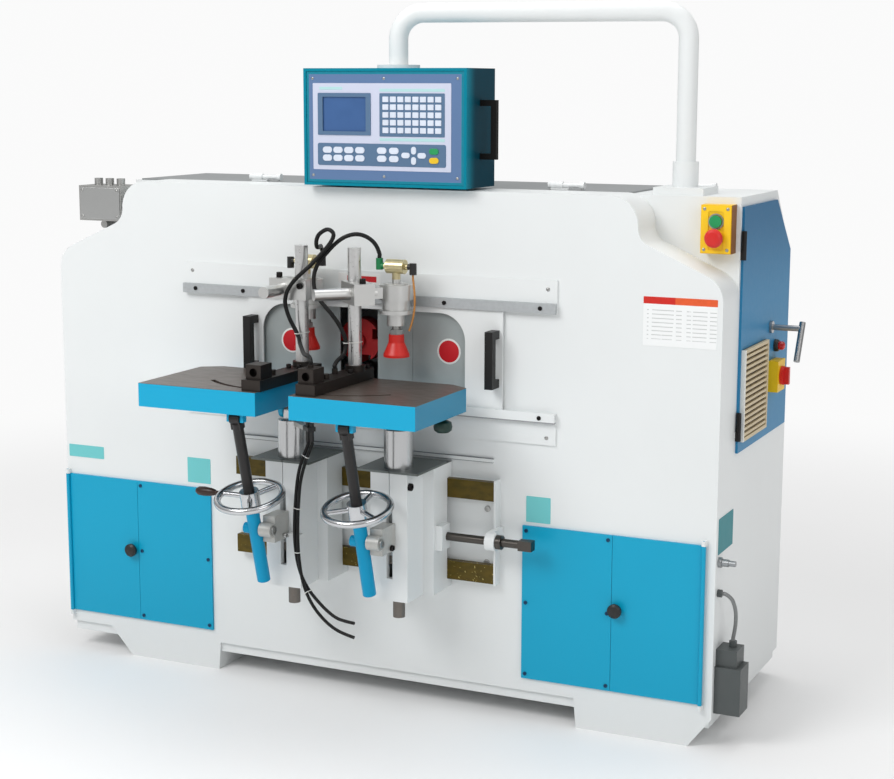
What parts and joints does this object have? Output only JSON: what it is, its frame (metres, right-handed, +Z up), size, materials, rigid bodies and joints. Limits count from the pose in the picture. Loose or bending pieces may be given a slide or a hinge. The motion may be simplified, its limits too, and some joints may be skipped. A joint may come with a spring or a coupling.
{
  "type": "tenoning machine",
  "caption": "Wood tenoning machine: white sheet-steel casing, cutter behind sliding guards, tilting work tables on saddles, air hold-downs and a control box on a swinging arm.",
  "frame": {"origin": "on the floor under the middle of the object's box", "axes": "+X along the casing to the right as the operator sees it, +Y away from the operator, +Z up; the tables are at the front, -Y"},
  "size_m": [1.89, 1.0386, 1.705],
  "materials": {
    "body_white": "satin paint",
    "gear_grey": "matt",
    "panel_blue": "satin paint",
    "rail_grey": "satin paint",
    "shield_grey": "matt paint",
    "way_steel": "oiled",
    "box_aluminium": "cast",
    "yellow_plastic": "matt",
    "steel": "ground",
    "pump_grey": "cast, painted",
    "braid": "braided wire",
    "black_plastic": "moulded",
    "door_blue": "satin paint",
    "vent_beige": "satin paint",
    "chrome": "polished",
    "red_plastic": "moulded",
    "green_plastic": "moulded",
    "control_teal": "powder coat",
    "face_slate": "printed film",
    "iron": "machined",
    "cutter_red": "painted, bare knives",
    "table_iron": "ground top, painted sides",
    "strut_blue": "gloss paint",
    "black_steel": "blackened, oiled",
    "cast_aluminium": "cast and turned",
    "red_rubber": "moulded",
    "black_hose": "smooth"
  },
  "bodies": {
    "frame": {"base_frame": "body_white", "front_casing": "body_white", "rear_housing": "body_white", "electrical_column": "body_white", "control_gear": "gear_grey", "top_cover": "body_white", "fixed_panels": "panel_blue", "guard_rails": "rail_grey", "inner_shields": "shield_grey", "way_plate": "body_white", "slide_ways": "way_steel", "junction_box": "box_aluminium", "button_box": "yellow_plastic", "tool_boxes": "shield_grey", "cross_rails": "steel", "oil_pump": "pump_grey", "oil_hose": "braid", "air_inlet": "steel", "dust_outlet": "rail_grey"},
    "left_door": {"left_door": "panel_blue"},
    "left_door_knob": {"left_door_knob": "black_plastic"},
    "right_door": {"right_door": "panel_blue"},
    "right_door_knob": {"right_door_knob": "black_plastic"},
    "cabinet_door": {"cabinet_door": "door_blue", "cabinet_vent": "vent_beige", "isolator_box": "yellow_plastic"},
    "cabinet_lever": {"cabinet_lever": "chrome"},
    "isolator_knob": {"isolator_knob": "red_plastic"},
    "start_button": {"start_button": "green_plastic"},
    "stop_button": {"stop_button": "red_plastic"},
    "swing_arm": {"swing_arm": "body_white"},
    "control_box": {"control_box": "control_teal", "control_face": "face_slate"},
    "left_guard": {"left_guard": "body_white"},
    "right_guard": {"right_guard": "body_white"},
    "carriage": {"cross_carriage": "iron"},
    "cutter_head": {"cutter_head": "iron"},
    "cutter": {"cutter": "cutter_red"},
    "left_saddle": {"left_saddle": "body_white"},
    "right_saddle": {"right_saddle": "body_white"},
    "lead_screw": {"lead_screw": "steel"},
    "left_lift": {"left_column": "chrome", "supply_hoses": "black_hose"},
    "right_lift": {"right_column": "chrome"},
    "left_table": {"left_table": "table_iron"},
    "left_strut": {"left_strut_tube": "strut_blue"},
    "left_rod": {"left_strut_rod": "black_steel"},
    "left_wheel": {"left_handwheel": "chrome"},
    "left_fence": {"left_fence": "steel"},
    "left_arm": {"left_hold_down": "cast_aluminium", "left_air_hose": "black_hose"},
    "left_presser": {"left_presser": "red_rubber"},
    "right_table": {"right_table": "table_iron"},
    "right_strut": {"right_strut_tube": "strut_blue"},
    "right_rod": {"right_strut_rod": "black_steel"},
    "right_wheel": {"right_handwheel": "chrome"},
    "right_fence": {"right_fence": "steel"},
    "right_arm": {"right_hold_down": "cast_aluminium", "right_air_hose": "black_hose"},
    "right_presser": {"right_presser": "red_rubber"}
  },
  "joints": [
    {"name": "left_door_hinge", "type": "hinge", "parent": "frame", "child": "left_door", "pos_m": [-0.938, -0.15769, 0.295], "axis": [0, 0, 1], "range_deg": [-110, 0]},
    {"name": "left_door_turn", "type": "hinge", "parent": "left_door", "child": "left_door_knob", "pos_m": [-0.734, -0.15469, 0.297], "axis": [0, 1, 0], "range_deg": [0, 90]},
    {"name": "right_door_hinge", "type": "hinge", "parent": "frame", "child": "right_door", "pos_m": [0.829, -0.15769, 0.295], "axis": [0, 0, 1], "range_deg": [0, 110]},
    {"name": "right_door_turn", "type": "hinge", "parent": "right_door", "child": "right_door_knob", "pos_m": [0.621, -0.15469, 0.307], "axis": [0, 1, 0], "range_deg": [0, 90]},
    {"name": "cabinet_hinge", "type": "hinge", "parent": "frame", "child": "cabinet_door", "pos_m": [0.864, -0.02169, 0.96], "axis": [0, 0, 1], "range_deg": [-110, 0]},
    {"name": "cabinet_lever_turn", "type": "hinge", "parent": "cabinet_door", "child": "cabinet_lever", "pos_m": [0.861, 0.24331, 0.939], "axis": [1, 0, 0], "range_deg": [0, 90]},
    {"name": "isolator_turn", "type": "hinge", "parent": "cabinet_door", "child": "isolator_knob", "pos_m": [0.885, 0.27131, 0.818], "axis": [1, 0, 0], "range_deg": [0, 90]},
    {"name": "start_press", "type": "slide", "parent": "frame", "child": "start_button", "axis": [0, 1, 0], "range_m": [0, 0.004], "stiffness_N_per_m": 1500, "springref_m": -0.002},
    {"name": "stop_press", "type": "slide", "parent": "frame", "child": "stop_button", "axis": [0, 1, 0], "range_m": [0, 0.005], "stiffness_N_per_m": 1500, "springref_m": -0.003},
    {"name": "arm_swing", "type": "hinge", "parent": "frame", "child": "swing_arm", "pos_m": [0.703, 0.03631, 1.3], "axis": [0, 0, 1], "range_deg": [-20, 100]},
    {"name": "box_swivel", "type": "hinge", "parent": "swing_arm", "child": "control_box", "pos_m": [0.03, -0.10169, 1.553], "axis": [0, 0, 1], "range_deg": [-45, 45]},
    {"name": "left_guard_slide", "type": "slide", "parent": "frame", "child": "left_guard", "axis": [1, 0, 0], "range_m": [-0.13, 0]},
    {"name": "right_guard_slide", "type": "slide", "parent": "frame", "child": "right_guard", "axis": [1, 0, 0], "range_m": [0, 0.13]},
    {"name": "carriage_cross", "type": "slide", "parent": "frame", "child": "carriage", "axis": [1, 0, 0], "range_m": [-0.15, 0.15]},
    {"name": "head_lift", "type": "slide", "parent": "carriage", "child": "cutter_head", "axis": [0, 0, 1], "range_m": [-0.06, 0.06]},
    {"name": "spindle", "type": "hinge", "parent": "cutter_head", "child": "cutter", "pos_m": [-0.079, -0.08869, 0.892], "axis": [0, 1, 0], "continuous": true},
    {"name": "left_saddle_slide", "type": "slide", "parent": "frame", "child": "left_saddle", "axis": [1, 0, 0], "range_m": [-0.06, 0.01], "deforming": ["left_air_hose", "right_air_hose"]},
    {"name": "right_saddle_slide", "type": "slide", "parent": "frame", "child": "right_saddle", "axis": [1, 0, 0], "range_m": [-0.01, 0.06], "deforming": ["left_air_hose", "right_air_hose"]},
    {"name": "lead_screw_turn", "type": "hinge", "parent": "frame", "child": "lead_screw", "pos_m": [0.355, -0.21269, 0.452], "axis": [1, 0, 0], "range_deg": [-720, 4320]},
    {"name": "left_lift_slide", "type": "slide", "parent": "left_saddle", "child": "left_lift", "axis": [0, 0, 1], "range_m": [-0.06, 0.05], "deforming": ["left_air_hose", "right_air_hose"]},
    {"name": "left_tilt", "type": "hinge", "parent": "left_lift", "child": "left_table", "pos_m": [-0.166, -0.28869, 0.742], "axis": [1, 0, 0], "range_deg": [0, 15], "deforming": ["left_air_hose", "right_air_hose"]},
    {"name": "left_strut_swing", "type": "hinge", "parent": "left_lift", "child": "left_strut", "pos_m": [-0.199, -0.41369, 0.472], "axis": [1, 0, 0], "range_deg": [0, 2.26]},
    {"name": "left_wheel_turn", "type": "hinge", "parent": "left_strut", "child": "left_wheel", "pos_m": [-0.199, -0.41369, 0.472], "axis": [0, -0.2587, 0.9659], "range_deg": [0, 2880], "deforming": ["left_air_hose", "right_air_hose"]},
    {"name": "left_rod_slide", "type": "slide", "parent": "left_strut", "child": "left_rod", "axis": [0, -0.2587, 0.9659], "range_m": [-0.05124, 0]},
    {"name": "left_fence_swivel", "type": "hinge", "parent": "left_table", "child": "left_fence", "pos_m": [-0.153, -0.23069, 0.82], "axis": [0, 0, 1], "range_deg": [-20, 0], "deforming": ["left_air_hose", "right_air_hose"]},
    {"name": "left_arm_height", "type": "slide", "parent": "left_fence", "child": "left_arm", "axis": [0, 0, 1], "range_m": [0, 0.05], "deforming": ["left_air_hose", "right_air_hose"]},
    {"name": "left_press", "type": "slide", "parent": "left_arm", "child": "left_presser", "axis": [0, 0, 1], "range_m": [-0.03, 0], "stiffness_N_per_m": 900, "springref_m": 0.03},
    {"name": "right_lift_slide", "type": "slide", "parent": "right_saddle", "child": "right_lift", "axis": [0, 0, 1], "range_m": [-0.06, 0.05], "deforming": ["left_air_hose", "right_air_hose"]},
    {"name": "right_tilt", "type": "hinge", "parent": "right_lift", "child": "right_table", "pos_m": [0.121, -0.28869, 0.742], "axis": [1, 0, 0], "range_deg": [0, 15], "deforming": ["left_air_hose", "right_air_hose"]},
    {"name": "right_strut_swing", "type": "hinge", "parent": "right_lift", "child": "right_strut", "pos_m": [0.088, -0.41369, 0.472], "axis": [1, 0, 0], "range_deg": [0, 2.26]},
    {"name": "right_wheel_turn", "type": "hinge", "parent": "right_strut", "child": "right_wheel", "pos_m": [0.088, -0.41369, 0.472], "axis": [0, -0.2587, 0.9659], "range_deg": [0, 2880], "deforming": ["left_air_hose", "right_air_hose"]},
    {"name": "right_rod_slide", "type": "slide", "parent": "right_strut", "child": "right_rod", "axis": [0, -0.2587, 0.9659], "range_m": [-0.05124, 0]},
    {"name": "right_fence_swivel", "type": "hinge", "parent": "right_table", "child": "right_fence", "pos_m": [-0.01, -0.23069, 0.82], "axis": [0, 0, 1], "range_deg": [0, 12], "deforming": ["left_air_hose", "right_air_hose"]},
    {"name": "right_arm_height", "type": "slide", "parent": "right_fence", "child": "right_arm", "axis": [0, 0, 1], "range_m": [0, 0.05], "deforming": ["left_air_hose", "right_air_hose"]},
    {"name": "right_press", "type": "slide", "parent": "right_arm", "child": "right_presser", "axis": [0, 0, 1], "range_m": [-0.03, 0], "stiffness_N_per_m": 900, "springref_m": 0.03}
  ],
  "couplings": [
    {"joint": "lead_screw_turn", "follows": "right_saddle_slide", "rad_per_m": 1256.6},
    {"joint": "left_tilt", "follows": "left_wheel_turn", "ratio": 0.0052083},
    {"joint": "left_strut_swing", "follows": "left_wheel_turn", "ratio": 0.00078375},
    {"joint": "left_rod_slide", "follows": "left_wheel_turn", "m_per_rad": -0.0010194},
    {"joint": "right_tilt", "follows": "right_wheel_turn", "ratio": 0.0052083},
    {"joint": "right_strut_swing", "follows": "right_wheel_turn", "ratio": 0.00078375},
    {"joint": "right_rod_slide", "follows": "right_wheel_turn", "m_per_rad": -0.0010194}
  ]
}
